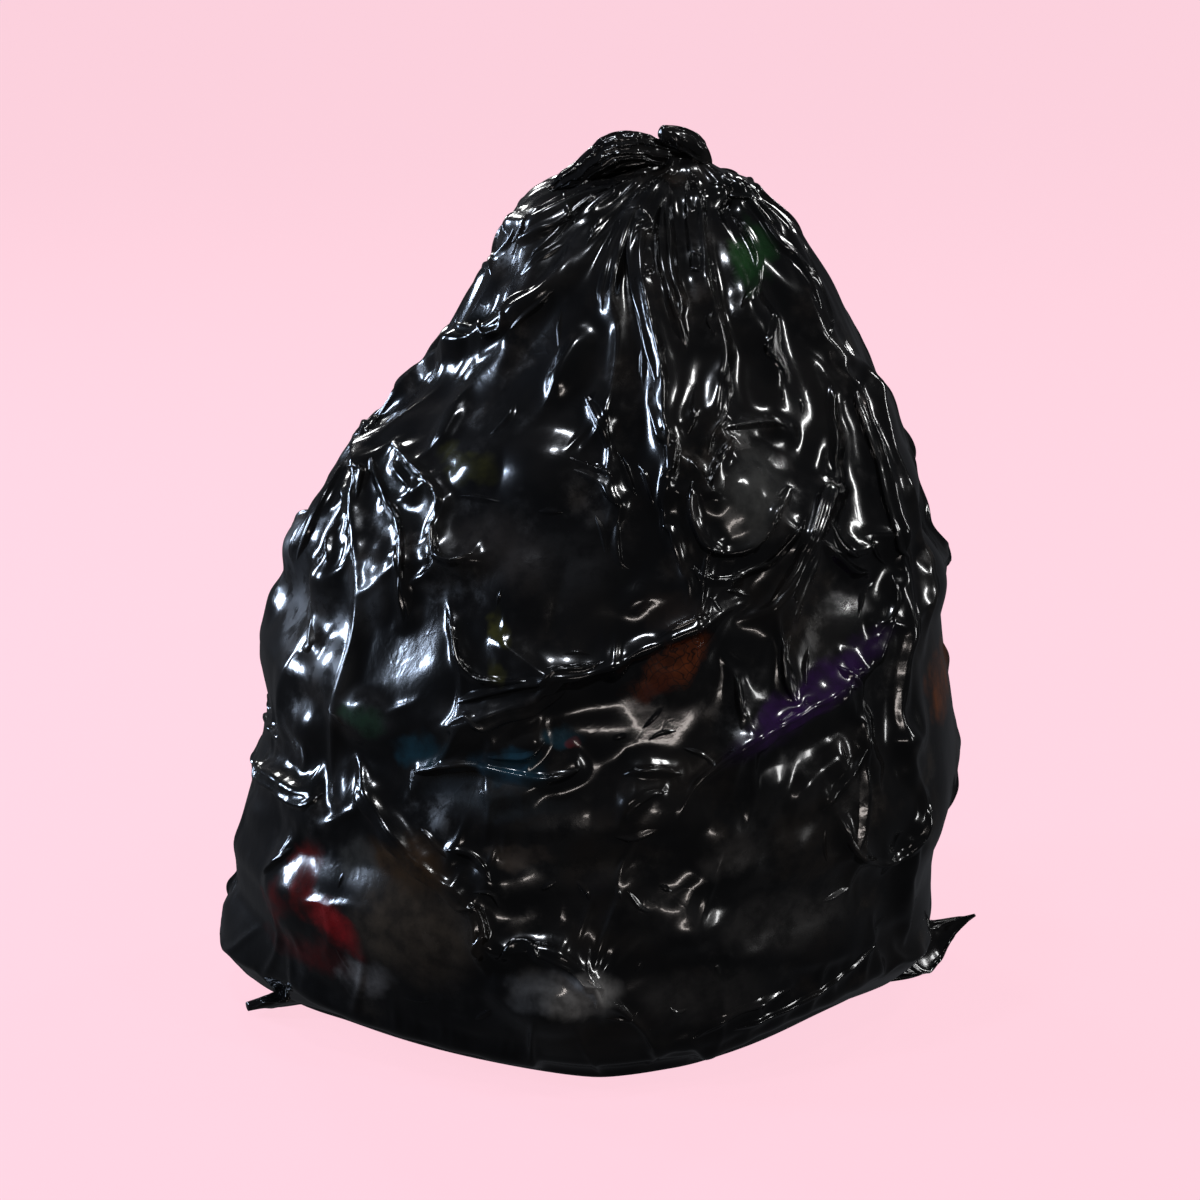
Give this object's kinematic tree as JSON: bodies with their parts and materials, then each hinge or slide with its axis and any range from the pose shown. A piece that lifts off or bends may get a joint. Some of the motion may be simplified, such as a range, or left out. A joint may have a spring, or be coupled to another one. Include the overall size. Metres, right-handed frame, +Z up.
{
  "type": "full bin bag",
  "caption": "Full black plastic refuse sack standing on the floor, lumpy with litter, its neck gathered in pleats and knotted, with two empty seam corners at its foot.",
  "frame": {"origin": "on the floor, under the middle of the sack's outer box", "axes": "+Z up through the sack, +X to the right and +Y away from somebody who looks at the fuller side, on which the neck is right of the middle"},
  "size_m": [0.503, 0.4636, 0.5665],
  "materials": {
    "film": "glossy black polyethylene film, creased, with dusty smears and faint colours of the litter behind it"
  },
  "bodies": {
    "root": {"bin_bag": "film"}
  },
  "joints": []
}
